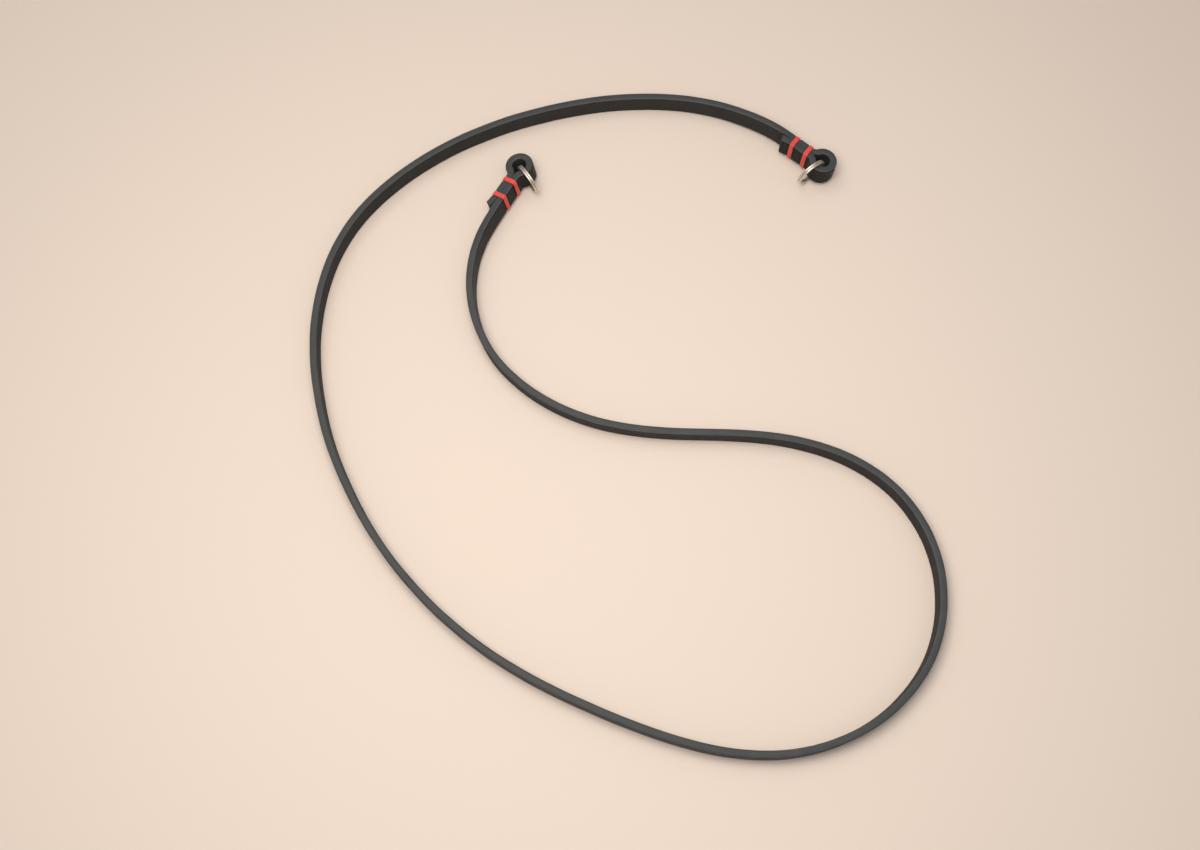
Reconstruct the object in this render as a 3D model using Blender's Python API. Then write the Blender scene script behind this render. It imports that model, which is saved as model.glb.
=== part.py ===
"""Leather camera strap, standing on its edge in one loose coil on a table.

Each end is folded back into an eye and bound with two whippings of waxed thread, and a split
ring hangs in each eye. Metres, +Z up. The origin is on the table, in the middle of the coil.
"""

import math
from collections import namedtuple

import bmesh
import bpy
import numpy as np
from mathutils import Matrix, Vector

# The coil: how far the strap's middle line spreads on the table
LAY_WIDTH = 0.2985
LAY_DEPTH = 0.3339
RUN_STEP = 0.008

# The strap: one strip of leather, standing on its narrow edge
STRAP_THICKNESS = 0.0036
STRAP_HEIGHT = 0.0114
EDGE_BEVEL = 0.0005

# Each folded end: two thinned layers side by side, opening into a round eye, whose hole is
# wider by EYE_PLAY than what the ring takes up in it
BOUND_THICKNESS = 0.0032
LAYER_GAP = 0.0003
THINNING_LENGTH = 0.012
EYE_PLAY = 0.0020
NECK_RADIUS = 0.0035
TAIL_LENGTH = 0.0067
TAIL_PEEL = 0.0006
TAIL_SECTIONS = 6
LIFT_LENGTH = 0.100
ARC_STEP = math.radians(13)

# The whippings: a flat band stands for the turns of thread, which pinch the leather
WHIPPING_WIDTH = 0.0023
THREAD_THICKNESS = 0.0006
THREAD_CLEARANCE = 0.0004
PINCH_SIDE = 0.0008
PINCH_EDGE = 0.00025
PINCH_EASE = 0.0013

# The split rings: a flat wire wound twice round, with an inside wider by RING_PLAY than the
# strap is high. The middle of a ring stands outside the middle of the eye's wall by RING_OUTSET.
RING_PLAY = 0.0026
RING_OUTSET = 0.0014
WIRE_DEPTH = 0.0012
WIRE_WIDTH = 0.0010
WIRE_BEVEL = 0.0002
TURN_GAP = 0.0001
RING_STEPS = 30
CROSSING_ANGLE = math.radians(34)
CROSSING_PLACE = math.radians(-38)
SEAT_GAP = 0.00025

# The strap's middle line from the right end's outer whipping to the left end's,
# as shares of the coil's width and depth
ROUTE = [
    (0.809, 0.919), (0.776, 0.942), (0.733, 0.964), (0.642, 0.992), (0.544, 1.000),
    (0.402, 0.984), (0.265, 0.943), (0.142, 0.876), (0.047, 0.781), (0.003, 0.659),
    (0.008, 0.530), (0.050, 0.407), (0.120, 0.295), (0.214, 0.198), (0.329, 0.120),
    (0.458, 0.062), (0.592, 0.018), (0.735, 0.001), (0.872, 0.037), (0.972, 0.128),
    (0.997, 0.252), (0.937, 0.367), (0.815, 0.432), (0.673, 0.451), (0.529, 0.458),
    (0.392, 0.497), (0.288, 0.583), (0.256, 0.707), (0.276, 0.773), (0.3075, 0.823),
]

# How the strap leans out of upright: share of the way along, degrees to the left of its travel.
# A ring props up one side of its eye, so each end tips a little to the other side.
LEAN = [(0.00, -3.0), (0.06, 0.0), (0.74, 0.0), (0.83, 4.5), (0.94, 4.5), (1.00, 9.5)]

# The two ends, bound by hand. The columns are the distance between the whippings, the straight
# neck between the inner one and the eye, how far the eye's middle is off the line between the
# two layers towards the tail's, where the ring crosses the eye, in degrees from the strap's own
# direction towards the tail layer, and the ring's lean.
END_ROWS = {
    "right": (0.0084, 0.0005, -0.0005, 105.0, 4.0),
    "left": (0.0095, 0.0028, 0.0008, -113.0, -8.0),
}

# What follows from those sizes
PAIR_Y = (BOUND_THICKNESS + LAYER_GAP) / 2
RING_WIDTH = 2 * WIRE_WIDTH + TURN_GAP
RING_INNER_RADIUS = (STRAP_HEIGHT + RING_PLAY) / 2
RING_OUTER_RADIUS = RING_INNER_RADIUS + WIRE_DEPTH
RING_INTO_WALL = STRAP_THICKNESS / 2 + RING_OUTSET
EYE_HOLE_RADIUS = (RING_OUTER_RADIUS - RING_INTO_WALL + EYE_PLAY) / 2
EYE_RADIUS = EYE_HOLE_RADIUS + STRAP_THICKNESS / 2


class Curve:
    """Natural cubic spline through points on the table, read by the distance along it."""

    def __init__(self, points):
        self.points = np.array(points, float)
        chords = np.linalg.norm(np.diff(self.points, axis=0), axis=1)
        self.knots = np.append(0, chords.cumsum())
        count = len(self.points)
        matrix = np.eye(count)
        wanted = np.zeros((count, 2))
        for k in range(1, count - 1):
            before, after = chords[k - 1], chords[k]
            matrix[k, k - 1:k + 2] = before, 2 * (before + after), after
            slope_before = (self.points[k] - self.points[k - 1]) / before
            slope_after = (self.points[k + 1] - self.points[k]) / after
            wanted[k] = 6 * (slope_after - slope_before)
        self.bends = np.linalg.solve(matrix, wanted)
        self.fine = np.linspace(0, self.knots[-1], 60 * count)
        self.outline = np.array([self.read(where)[0] for where in self.fine])
        steps = np.linalg.norm(np.diff(self.outline, axis=0), axis=1)
        self.travelled = np.append(0, steps.cumsum())
        self.length = float(self.travelled[-1])

    def read(self, where):
        """Place and slope at a value of the spline's own parameter."""
        k = min(max(int(np.searchsorted(self.knots, where)) - 1, 0), len(self.points) - 2)
        span = self.knots[k + 1] - self.knots[k]
        b = (where - self.knots[k]) / span
        a = 1 - b
        start, end = self.points[k], self.points[k + 1]
        bend_a, bend_b = self.bends[k], self.bends[k + 1]
        place = a * start + b * end + ((a**3 - a) * bend_a + (b**3 - b) * bend_b) * span**2 / 6
        slope = (end - start) / span + ((1 - 3 * a**2) * bend_a + (3 * b**2 - 1) * bend_b) * span / 6
        return place, slope

    def at(self, distance):
        """Place and unit heading at a distance from the start."""
        place, slope = self.read(np.interp(distance, self.travelled, self.fine))
        return place, slope / np.linalg.norm(slope)


class End:
    """One end of the strap, with its own axes at the outer whipping.

    x runs outwards along the layer that comes from the run, y across to the tail layer, and z up
    from the strap's lower edge. sense is 1 where the travel along the strap ends and -1 where
    it starts.
    """

    def __init__(self, curve, sense, spacing, neck, eye_aside, ring_around, ring_lean):
        self.curve = curve
        self.sense = sense
        self.place, travel = self.beside(0.0)
        self.outward = sense * travel
        self.tailward = left_of(travel)
        self.spacing = spacing
        self.eye_y = PAIR_Y + eye_aside
        self.neck_x = spacing + WHIPPING_WIDTH / 2 + neck
        self.eye_x = self.neck_x + neck_reach(self.eye_y)
        self.ring_around = math.radians(ring_around)
        self.ring_lean = math.radians(ring_lean)
        self.eye_lift = self.clear_ring()

    def along(self, back):
        """Distance along the whole run of a place that lies back from the outer whipping."""
        return self.curve.length - back if self.sense > 0 else back

    def beside(self, back):
        """Place and heading of the run at a distance back from the outer whipping."""
        return self.curve.at(self.along(back))

    def clear_ring(self):
        """How high the eye's lower edge stands at the neck, propped up by the ring's wire."""
        lean = lean_at(self.along(0.0) / self.curve.length)
        foot_out = -STRAP_HEIGHT / 2 * math.sin(lean) * math.sin(self.ring_around)
        into_foot = RING_INTO_WALL - foot_out
        beside_ring = max(into_foot, STRAP_THICKNESS - into_foot)
        depth = RING_OUTER_RADIUS - math.sqrt(RING_INNER_RADIUS**2 - beside_ring**2)
        wire = depth * math.cos(self.ring_lean) + RING_WIDTH * abs(math.sin(self.ring_lean))
        reaches = (EYE_HOLE_RADIUS, EYE_HOLE_RADIUS + STRAP_THICKNESS)
        tipped = [
            -(self.eye_y + reach * math.sin(self.ring_around)) * math.sin(lean)
            for reach in reaches
        ]
        return wire + SEAT_GAP - settle(lean, BOUND_THICKNESS) - min(tipped)

    def lift(self, back):
        """Height of the lower edge above the table, by the distance back from the neck."""
        return self.eye_lift * (1 - smooth(back / LIFT_LENGTH))

    def pinch(self, x):
        """Squeeze of the thread at x: 1 under a whipping and 0 clear of it."""
        clear = min(abs(x), abs(x - self.spacing)) - WHIPPING_WIDTH / 2
        return 1 - smooth(clear / PINCH_EASE)

    def tilt(self, back):
        """The strap's lean and height at a distance back from the outer whipping."""
        place, travel = self.beside(back)
        lean = lean_at(self.along(back) / self.curve.length)
        rise = self.lift(self.neck_x + back) + settle(lean, thinned(back))
        return Tilt(place, left_of(travel), lean, rise)

    def fold_tilt(self, x):
        """The same at x of the fold, which tips as one stiff piece."""
        start = self.tilt(0.0)
        return start._replace(rise=start.rise + self.lift(self.neck_x - x) - self.lift(self.neck_x))

    def on_table(self, x, y):
        """A point of the end's own axes, on the table."""
        return self.place + x * self.outward + y * self.tailward


# How a stretch of the strap leans: about a line at origin and half the strap's height, towards
# side, and then up by rise
Tilt = namedtuple("Tilt", "origin side lean rise")


def tilted(tilt, place, height):
    """A point of the upright strap, above place on the table, as it lies with the lean."""
    across = (place - tilt.origin) @ tilt.side
    above = height - STRAP_HEIGHT / 2
    shift = across * (math.cos(tilt.lean) - 1) + above * math.sin(tilt.lean)
    up = above * math.cos(tilt.lean) - across * math.sin(tilt.lean)
    return (*(place + shift * tilt.side), STRAP_HEIGHT / 2 + up + tilt.rise)


def settle(lean, thickness):
    """How far a leaning section goes up so that its lowest corner stands at zero."""
    half = thickness / 2
    corners = rounded_box(half, -half, 0.0, STRAP_HEIGHT, EDGE_BEVEL)
    lowest = min(
        (z - STRAP_HEIGHT / 2) * math.cos(lean) - y * math.sin(lean) for y, z in corners
    )
    return -lowest - STRAP_HEIGHT / 2


def neck_reach(aside):
    """How far before the eye's middle a layer that lies aside of it leaves its straight line."""
    return math.sqrt((EYE_RADIUS + NECK_RADIUS) ** 2 - (aside + NECK_RADIUS) ** 2)


def neck_turn(aside):
    """The angle that the layer turns through in its neck."""
    return math.acos((aside + NECK_RADIUS) / (EYE_RADIUS + NECK_RADIUS))


def left_of(heading):
    return np.array([-heading[1], heading[0]])


def smooth(t):
    """Ease from 0 to 1 as t goes from 0 to 1."""
    t = min(max(t, 0.0), 1.0)
    return t * t * (3 - 2 * t)


def lean_at(share):
    """Lean in radians, eased between the rows of the table."""
    for (share_a, lean_a), (share_b, lean_b) in zip(LEAN, LEAN[1:]):
        if share <= share_b:
            ease = smooth((share - share_a) / (share_b - share_a))
            return math.radians(lean_a + (lean_b - lean_a) * ease)
    return math.radians(LEAN[-1][1])


def thinned(back):
    """Thickness of the run, which thins towards the outer whipping."""
    ease = smooth(back / THINNING_LENGTH)
    return BOUND_THICKNESS + (STRAP_THICKNESS - BOUND_THICKNESS) * ease


def section(place, heading, thickness, squeeze, tilt):
    """Corners of the strap's section. The thread squeezes its outer face, to the right of the
    heading, and both of its edges."""
    half = thickness / 2
    edge = PINCH_EDGE * squeeze
    outline = rounded_box(
        half, PINCH_SIDE * squeeze - half, edge, STRAP_HEIGHT - edge, EDGE_BEVEL
    )
    side = left_of(heading)
    return [tilted(tilt, place + across * side, height) for across, height in outline]


def bound_xs(end, neck_x):
    """Stations along a bound layer as far as its neck, closest where the thread pinches it."""
    half = WHIPPING_WIDTH / 2
    reaches = (-half - PINCH_EASE, -half - PINCH_EASE / 2, -half, half,
               half + PINCH_EASE / 2, half + PINCH_EASE)
    xs = [0.0, end.spacing / 2, neck_x]
    for middle in (0.0, end.spacing):
        xs += [middle + reach for reach in reaches]
    return [x for x in sorted(xs) if 0 <= x <= neck_x]


def arc(centre_x, centre_y, radius, start, sweep):
    """Rows x, y, heading and share of an arc after its first point. A positive sweep is to the
    left."""
    count = max(2, math.ceil(abs(sweep) / ARC_STEP))
    way = math.copysign(1, sweep)
    for k in range(1, count + 1):
        angle = start + sweep * k / count
        x, y = centre_x + radius * math.cos(angle), centre_y + radius * math.sin(angle)
        yield x, y, (-way * math.sin(angle), way * math.cos(angle)), k / count


def fold_rows(end):
    """The fold in the end's own axes, out from the outer whipping, round the eye and back.

    Yields x, y, heading and fullness: 0 where the leather is thinned and 1 at full thickness.
    """
    quarter = math.pi / 2
    tail_aside = 2 * PAIR_Y - end.eye_y
    tail_neck_x = end.eye_x - neck_reach(tail_aside)
    turn_out, turn_back = neck_turn(end.eye_y), neck_turn(tail_aside)
    for x in bound_xs(end, end.neck_x):
        yield x, 0.0, (1.0, 0.0), 0.0
    yield from arc(end.neck_x, -NECK_RADIUS, NECK_RADIUS, quarter, -turn_out)
    for x, y, heading, _ in arc(
        end.eye_x, end.eye_y, EYE_RADIUS, -quarter - turn_out, math.pi + turn_out + turn_back
    ):
        yield x, y, heading, 1.0
    for x, y, heading, share in arc(
        tail_neck_x, 2 * PAIR_Y + NECK_RADIUS, NECK_RADIUS, turn_back - quarter, -turn_back
    ):
        yield x, y, heading, 1 - share
    for x in bound_xs(end, tail_neck_x)[-2::-1]:
        yield x, 2 * PAIR_Y, (-1.0, 0.0), 0.0


def fold(end):
    """Sections from the outer whipping round the eye and back to the tail's cut end."""
    sections = []
    for x, y, (along, across), fullness in fold_rows(end):
        thickness = BOUND_THICKNESS + (STRAP_THICKNESS - BOUND_THICKNESS) * smooth(fullness)
        heading = end.sense * (along * end.outward + across * end.tailward)
        sections.append(
            section(end.on_table(x, y), heading, thickness, end.pinch(x), end.fold_tilt(x))
        )
    return sections + tail(end)


def tail(end):
    """The free tail, which lies along the run and peels a little away from it."""
    sections = []
    for k in range(1, TAIL_SECTIONS + 1):
        back = TAIL_LENGTH * k / TAIL_SECTIONS
        place, travel = end.beside(back)
        peel = TAIL_PEEL * (k / TAIL_SECTIONS) ** 2
        apart = thinned(back) / 2 + LAYER_GAP + peel + BOUND_THICKNESS / 2
        place = place + apart * left_of(travel)
        sections.append(section(place, -travel, BOUND_THICKNESS, end.pinch(-back), end.tilt(back)))
    return sections


def run(curve, start, finish):
    """Sections of the long run between the two bound ends, without its first and last point."""
    half = WHIPPING_WIDTH / 2
    near = [half, half + PINCH_EASE / 2, half + PINCH_EASE]
    count = round((curve.length - 2 * near[-1]) / RUN_STEP)
    even = list(np.linspace(near[-1], curve.length - near[-1], count + 1))
    far = [curve.length - back for back in near[-2::-1]]
    sections = []
    for travelled in near[:-1] + even + far:
        end = start if travelled < curve.length / 2 else finish
        back = min(travelled, curve.length - travelled)
        place, heading = curve.at(travelled)
        sections.append(section(place, heading, thinned(back), end.pinch(-back), end.tilt(back)))
    return sections


def rounded_box(left, right, low, high, bevel):
    """Corners of a rectangle with bevelled corners, in order round it."""
    return [
        (left - bevel, low), (left, low + bevel), (left, high - bevel), (left - bevel, high),
        (right + bevel, high), (right, high - bevel), (right, low + bevel), (right + bevel, low),
    ]


def loft(name, rings, material, capped=True):
    """A solid through rings of corners: capped at its two ends, or closed on itself."""
    bm = bmesh.new()
    loops = [[bm.verts.new(corner) for corner in ring] for ring in rings]
    pairs = list(zip(loops, loops[1:]))
    if capped:
        bm.faces.new(loops[0])
        bm.faces.new(loops[-1])
    else:
        pairs.append((loops[-1], loops[0]))
    for one, other in pairs:
        for k in range(len(one)):
            after = (k + 1) % len(one)
            bm.faces.new((one[k], one[after], other[after], other[k]))
    bmesh.ops.recalc_face_normals(bm, faces=bm.faces)
    mesh = bpy.data.meshes.new(name)
    bm.to_mesh(mesh)
    bm.free()
    mesh.shade_smooth()
    mesh.set_sharp_from_angle(angle=math.radians(35))
    mesh.materials.append(material)
    obj = bpy.data.objects.new(name, mesh)
    bpy.context.scene.collection.objects.link(obj)
    return obj


def place_object(obj, origin, x_axis, z_axis):
    """Stand an object at origin with its own X and Z along the two axes."""
    x_axis = Vector(x_axis)
    z_axis = Vector(z_axis)
    turn = Matrix((x_axis, z_axis.cross(x_axis), z_axis)).transposed()
    obj.matrix_world = Matrix.Translation(origin) @ turn.to_4x4()


def whipping(name, end, x, material):
    """A band round both layers at x of an end, with its own X along the strap."""
    side = BOUND_THICKNESS + LAYER_GAP / 2 - PINCH_SIDE + THREAD_CLEARANCE
    edge = STRAP_HEIGHT / 2 - PINCH_EDGE + THREAD_CLEARANCE
    bevel_growth = 2 - math.sqrt(2)
    bevel = EDGE_BEVEL + bevel_growth * THREAD_CLEARANCE
    inner = rounded_box(side, -side, -edge, edge, bevel)
    side += THREAD_THICKNESS
    edge += THREAD_THICKNESS
    outer = rounded_box(side, -side, -edge, edge, bevel + bevel_growth * THREAD_THICKNESS)
    rings = [
        [(WHIPPING_WIDTH / 2 * way, y, z) for y, z in outline]
        for way, outline in ((-1, inner), (-1, outer), (1, outer), (1, inner))
    ]
    obj = loft(name, rings, material, capped=False)
    tilt = end.fold_tilt(x)
    middle = tilted(tilt, end.on_table(x, PAIR_Y), STRAP_HEIGHT / 2)
    up = (*(math.sin(tilt.lean) * end.tailward), math.cos(tilt.lean))
    place_object(obj, middle, (*end.outward, 0), up)
    return obj


def split_ring(name, end, material):
    """A flat wire wound twice round, which crosses from one turn to the other once."""
    rings = []
    start = CROSSING_ANGLE / 2
    finish = 4 * math.pi - CROSSING_ANGLE / 2
    count = 2 * RING_STEPS
    pitch = WIRE_WIDTH + TURN_GAP
    for k in range(count + 1):
        wound = start + (finish - start) * k / count
        crossed = smooth((wound - 2 * math.pi) / CROSSING_ANGLE + 0.5)
        offset = pitch * (crossed - 0.5)
        angle = wound + CROSSING_PLACE
        outline = rounded_box(
            offset + WIRE_WIDTH / 2, offset - WIRE_WIDTH / 2,
            RING_INNER_RADIUS, RING_OUTER_RADIUS, WIRE_BEVEL,
        )
        rings.append([(r * math.cos(angle), y, r * math.sin(angle)) for y, r in outline])
    obj = loft(name, rings, material)

    out = math.cos(end.ring_around) * end.outward + math.sin(end.ring_around) * end.tailward
    eye = tilted(end.fold_tilt(end.eye_x), end.on_table(end.eye_x, end.eye_y), STRAP_HEIGHT / 2)
    centre = np.array(eye[:2]) + (EYE_HOLE_RADIUS + RING_INTO_WALL) * out
    lean = end.ring_lean
    rise = RING_OUTER_RADIUS * math.cos(lean) + RING_WIDTH / 2 * abs(math.sin(lean))
    up = (*(math.sin(lean) * left_of(out)), math.cos(lean))
    place_object(obj, (*centre, rise), (*out, 0), up)
    return obj


def material(name, colour, roughness, metallic=0.0):
    """A plain material of one linear colour."""
    made = bpy.data.materials.new(name)
    made.use_nodes = True
    shader = made.node_tree.nodes["Principled BSDF"]
    shader.inputs["Base Color"].default_value = (*colour, 1)
    shader.inputs["Roughness"].default_value = roughness
    shader.inputs["Metallic"].default_value = metallic
    return made


def centred_route():
    """The route's points on the table, with the strap's outline centred on the origin."""
    outline = Curve(ROUTE).outline
    low, high = outline.min(axis=0), outline.max(axis=0)
    return (np.array(ROUTE) - (low + high) / 2) / (high - low) * (LAY_WIDTH, LAY_DEPTH)


def main():
    for obj in list(bpy.data.objects):
        bpy.data.objects.remove(obj, do_unlink=True)

    leather = material("black_leather", (0.035, 0.036, 0.036), 0.6)
    thread = material("red_waxed_thread", (0.72, 0.06, 0.04), 0.55)
    steel = material("split_ring_steel", (0.62, 0.58, 0.53), 0.3, metallic=1.0)

    curve = Curve(centred_route())
    right = End(curve, -1, *END_ROWS["right"])
    left = End(curve, 1, *END_ROWS["left"])
    loft("strap", fold(right)[::-1] + run(curve, right, left) + fold(left), leather)
    for side, end in (("right", right), ("left", left)):
        whipping(f"whipping_{side}_outer", end, 0.0, thread)
        whipping(f"whipping_{side}_eye", end, end.spacing, thread)
        split_ring(f"split_ring_{side}", end, steel)


main()
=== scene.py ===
# %% [markdown]
# # A leather camera strap, lying coiled on its edge
#
# The real strap is one flat strip of black leather. Each end is folded back on itself around a
# steel split ring, and the two layers are bound with two whippings of red waxed thread. It was
# put down loosely, so it stands on its narrow edge and wanders over the table in one open coil.
#
# The plain model that fixes every size and place is loaded first. The pieces made below stand in
# the same place, in metres, and replace its plain solids.

# %% Load the frame
import math
from collections import namedtuple

import bmesh
import bpy
import numpy as np
from mathutils import Matrix, Vector


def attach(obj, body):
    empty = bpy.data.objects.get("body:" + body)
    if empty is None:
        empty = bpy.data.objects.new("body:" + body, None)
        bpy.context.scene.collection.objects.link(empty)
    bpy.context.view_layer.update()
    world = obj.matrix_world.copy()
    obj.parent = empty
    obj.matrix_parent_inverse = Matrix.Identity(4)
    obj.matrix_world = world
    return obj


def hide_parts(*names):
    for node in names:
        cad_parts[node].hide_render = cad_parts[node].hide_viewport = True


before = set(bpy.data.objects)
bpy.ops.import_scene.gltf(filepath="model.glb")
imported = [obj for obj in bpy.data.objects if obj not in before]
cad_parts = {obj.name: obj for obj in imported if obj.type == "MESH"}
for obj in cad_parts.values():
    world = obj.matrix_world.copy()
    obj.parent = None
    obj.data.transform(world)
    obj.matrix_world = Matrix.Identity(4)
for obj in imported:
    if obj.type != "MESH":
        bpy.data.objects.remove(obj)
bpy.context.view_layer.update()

# %% [markdown]
# ## The camera
#
# A camera can be placed by hand until it looks right, but then every size seen through it is a
# guess. Here it was worked out once from the picture: it looks down on the table from 626 mm up,
# 18 degrees off the vertical, and its lens is 40 mm long on a 36 mm wide sensor.

# %% Place the camera
CAMERA_PLACE = (-0.00894, -0.21224, 0.626)
CAMERA_TILT = math.radians(17.97)
CAMERA_ROLL = math.radians(-0.22)
CAMERA_LENS = 40.47
SENSOR_WIDTH = 36

camera_data = bpy.data.cameras.new("camera")
camera_data.sensor_width = SENSOR_WIDTH
camera_data.lens = CAMERA_LENS
camera_data.clip_start = 0.01
camera = bpy.data.objects.new("camera", camera_data)
bpy.context.scene.collection.objects.link(camera)
camera.matrix_world = (
    Matrix.Translation(CAMERA_PLACE)
    @ Matrix.Rotation(CAMERA_TILT, 4, "X")
    @ Matrix.Rotation(CAMERA_ROLL, 4, "Z")
)
bpy.context.scene.camera = camera

# %% [markdown]
# ## Colours and nodes
#
# Colours are easiest to pick as sRGB hex values, the way a picture shows them, but a shader adds
# light in linear values, so one function turns the one into the other. The other small functions
# add a node with its settings and links, which keeps the materials below short to read.

# %% Helpers for colours and nodes
def colour(hex_value):
    """A linear colour with alpha from an sRGB value such as #A0B1C2."""
    shares = [int(hex_value[k:k + 2], 16) / 255 for k in (1, 3, 5)]
    linear = [s / 12.92 if s <= 0.04045 else ((s + 0.055) / 1.055) ** 2.4 for s in shares]
    return (*linear, 1.0)


def socket(sockets, key):
    """The socket with a number, or the one in use that has a name."""
    if isinstance(key, int):
        return sockets[key]
    return next(one for one in sockets if one.enabled and one.name == key)


def connect(tree, node, inputs):
    """Give a node's inputs, by their names or numbers, a value, a socket or another node."""
    for key, value in inputs.items():
        if isinstance(value, bpy.types.Node):
            value = next(one for one in value.outputs if one.enabled)
        if isinstance(value, bpy.types.NodeSocket):
            tree.links.new(value, socket(node.inputs, key))
        else:
            socket(node.inputs, key).default_value = value


def add(tree, kind, *inputs, **settings):
    """Add a node. Its inputs come in the order of its sockets, or by name in a dictionary."""
    made = tree.nodes.new(kind)
    for name, value in settings.items():
        setattr(made, name, value)
    for number, value in enumerate(inputs):
        connect(tree, made, value if isinstance(value, dict) else {number: value})
    return made


def maths(tree, operation, *values):
    """Reckon with numbers, each of them a value, a socket or another node."""
    return add(tree, "ShaderNodeMath", *values, operation=operation)


def vector_maths(tree, operation, *values):
    """The same with vectors."""
    return add(tree, "ShaderNodeVectorMath", *values, operation=operation)


def scaled(tree, vector, factor):
    """A vector made longer or shorter."""
    return vector_maths(tree, "SCALE", {"Vector": vector, "Scale": factor})


def blended(tree, share, one, other):
    """One colour that turns into another as the share goes from 0 to 1."""
    return add(tree, "ShaderNodeMix", {"Factor": share, "A": one, "B": other}, data_type="RGBA")


def new_material(name):
    """An empty material, with its tree and its surface shader."""
    made = bpy.data.materials.new(name)
    made.use_nodes = True
    tree = made.node_tree
    tree.nodes.clear()
    shader = add(tree, "ShaderNodeBsdfPrincipled")
    add(tree, "ShaderNodeOutputMaterial", {"Surface": shader})
    return made, tree, shader


# %% [markdown]
# ## The table and the light
#
# The table is a plain pale sheet. The picture's light is soft and comes from above: the upper
# edge of the strap is grey, its sides are nearly black, and its shadow is faint. So one big area
# lamp hangs high over the far left of the table, a weaker one fills in from the right, and the
# surroundings are dim, because light from all round would make the black sides grey. A small
# lamp hangs lower over the middle and makes the table brightest there, as in the picture.

# %% Lay the table and hang the lamps
TABLE_SIZE = 8.0
TABLE_GAP = 0.00005

half_table = TABLE_SIZE / 2
table_corners = [
    (x * half_table, y * half_table, -TABLE_GAP) for x, y in ((-1, -1), (1, -1), (1, 1), (-1, 1))
]
table_mesh = bpy.data.meshes.new("table")
table_mesh.from_pydata(table_corners, [], [(0, 1, 2, 3)])
table = bpy.data.objects.new("table", table_mesh)
bpy.context.scene.collection.objects.link(table)
pale_paint, tree, shader = new_material("pale_matt_paint")
connect(
    tree, shader, {"Base Color": colour("#DACDC2"), "Roughness": 0.85, "Specular IOR Level": 0.2}
)
table_mesh.materials.append(pale_paint)


def hang_lamp(name, place, size, power, hex_value):
    """A square area lamp at place that faces the middle of the coil."""
    data = bpy.data.lights.new(name, "AREA")
    data.shape = "SQUARE"
    data.size = size
    data.energy = power
    data.color = colour(hex_value)[:3]
    lamp = bpy.data.objects.new(name, data)
    lamp.location = place
    lamp.rotation_euler = (-Vector(place)).to_track_quat("-Z", "Y").to_euler()
    bpy.context.scene.collection.objects.link(lamp)


hang_lamp("softbox", (-0.35, 0.30, 1.50), 1.3, 11.0, "#FFF8F0")
hang_lamp("ceiling_lamp", (-0.07, -0.09, 0.55), 0.30, 2.25, "#FFF6EC")
hang_lamp("fill", (0.60, -0.25, 1.30), 1.0, 2.2, "#F4F6FF")

world = bpy.data.worlds.new("pale_room")
world.use_nodes = True
tree = world.node_tree
connect(tree, tree.nodes["Background"], {"Color": colour("#F4F1EE"), "Strength": 0.26})
bpy.context.scene.world = world
bpy.context.scene.view_settings.view_transform = "Standard"

# %% [markdown]
# ## The route of the strap
#
# A strap on edge bends easily one way and hardly at all the other, so it lies in long smooth
# curves. A few given points and a natural cubic spline through them give just that, because such
# a spline bends the way a springy strip does. The points are shares of the coil's width and depth,
# and the spline is read by the distance travelled along it.

# %% The coil's route, read by distance
LAY_WIDTH = 0.2985
LAY_DEPTH = 0.3339
READS_PER_POINT = 60
ROUTE = [
    (0.809, 0.919), (0.776, 0.942), (0.733, 0.964), (0.642, 0.992), (0.544, 1.000),
    (0.402, 0.984), (0.265, 0.943), (0.142, 0.876), (0.047, 0.781), (0.003, 0.659),
    (0.008, 0.530), (0.050, 0.407), (0.120, 0.295), (0.214, 0.198), (0.329, 0.120),
    (0.458, 0.062), (0.592, 0.018), (0.735, 0.001), (0.872, 0.037), (0.972, 0.128),
    (0.997, 0.252), (0.937, 0.367), (0.815, 0.432), (0.673, 0.451), (0.529, 0.458),
    (0.392, 0.497), (0.288, 0.583), (0.256, 0.707), (0.276, 0.773), (0.3075, 0.823),
]


class Curve:
    """Natural cubic spline through points on the table, read by the distance along it."""

    def __init__(self, points):
        self.points = np.array(points, float)
        chords = np.linalg.norm(np.diff(self.points, axis=0), axis=1)
        self.knots = np.append(0, chords.cumsum())
        count = len(self.points)
        matrix = np.eye(count)
        wanted = np.zeros((count, 2))
        for k in range(1, count - 1):
            before, after = chords[k - 1], chords[k]
            matrix[k, k - 1:k + 2] = before, 2 * (before + after), after
            slope_before = (self.points[k] - self.points[k - 1]) / before
            slope_after = (self.points[k + 1] - self.points[k]) / after
            wanted[k] = 6 * (slope_after - slope_before)
        self.bends = np.linalg.solve(matrix, wanted)
        self.fine = np.linspace(0, self.knots[-1], READS_PER_POINT * count)
        self.outline = np.array([self.read(where)[0] for where in self.fine])
        steps = np.linalg.norm(np.diff(self.outline, axis=0), axis=1)
        self.travelled = np.append(0, steps.cumsum())
        self.length = float(self.travelled[-1])

    def read(self, where):
        """Place and slope at a value of the spline's own parameter."""
        k = min(max(int(np.searchsorted(self.knots, where)) - 1, 0), len(self.points) - 2)
        span = self.knots[k + 1] - self.knots[k]
        b = (where - self.knots[k]) / span
        a = 1 - b
        start, end = self.points[k], self.points[k + 1]
        bend_a, bend_b = self.bends[k], self.bends[k + 1]
        place = a * start + b * end + ((a**3 - a) * bend_a + (b**3 - b) * bend_b) * span**2 / 6
        slope = (end - start) / span + ((1 - 3 * a**2) * bend_a + (3 * b**2 - 1) * bend_b) * span / 6
        return place, slope

    def at(self, distance):
        """Place and unit heading at a distance from the start."""
        place, slope = self.read(np.interp(distance, self.travelled, self.fine))
        return place, slope / np.linalg.norm(slope)


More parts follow.
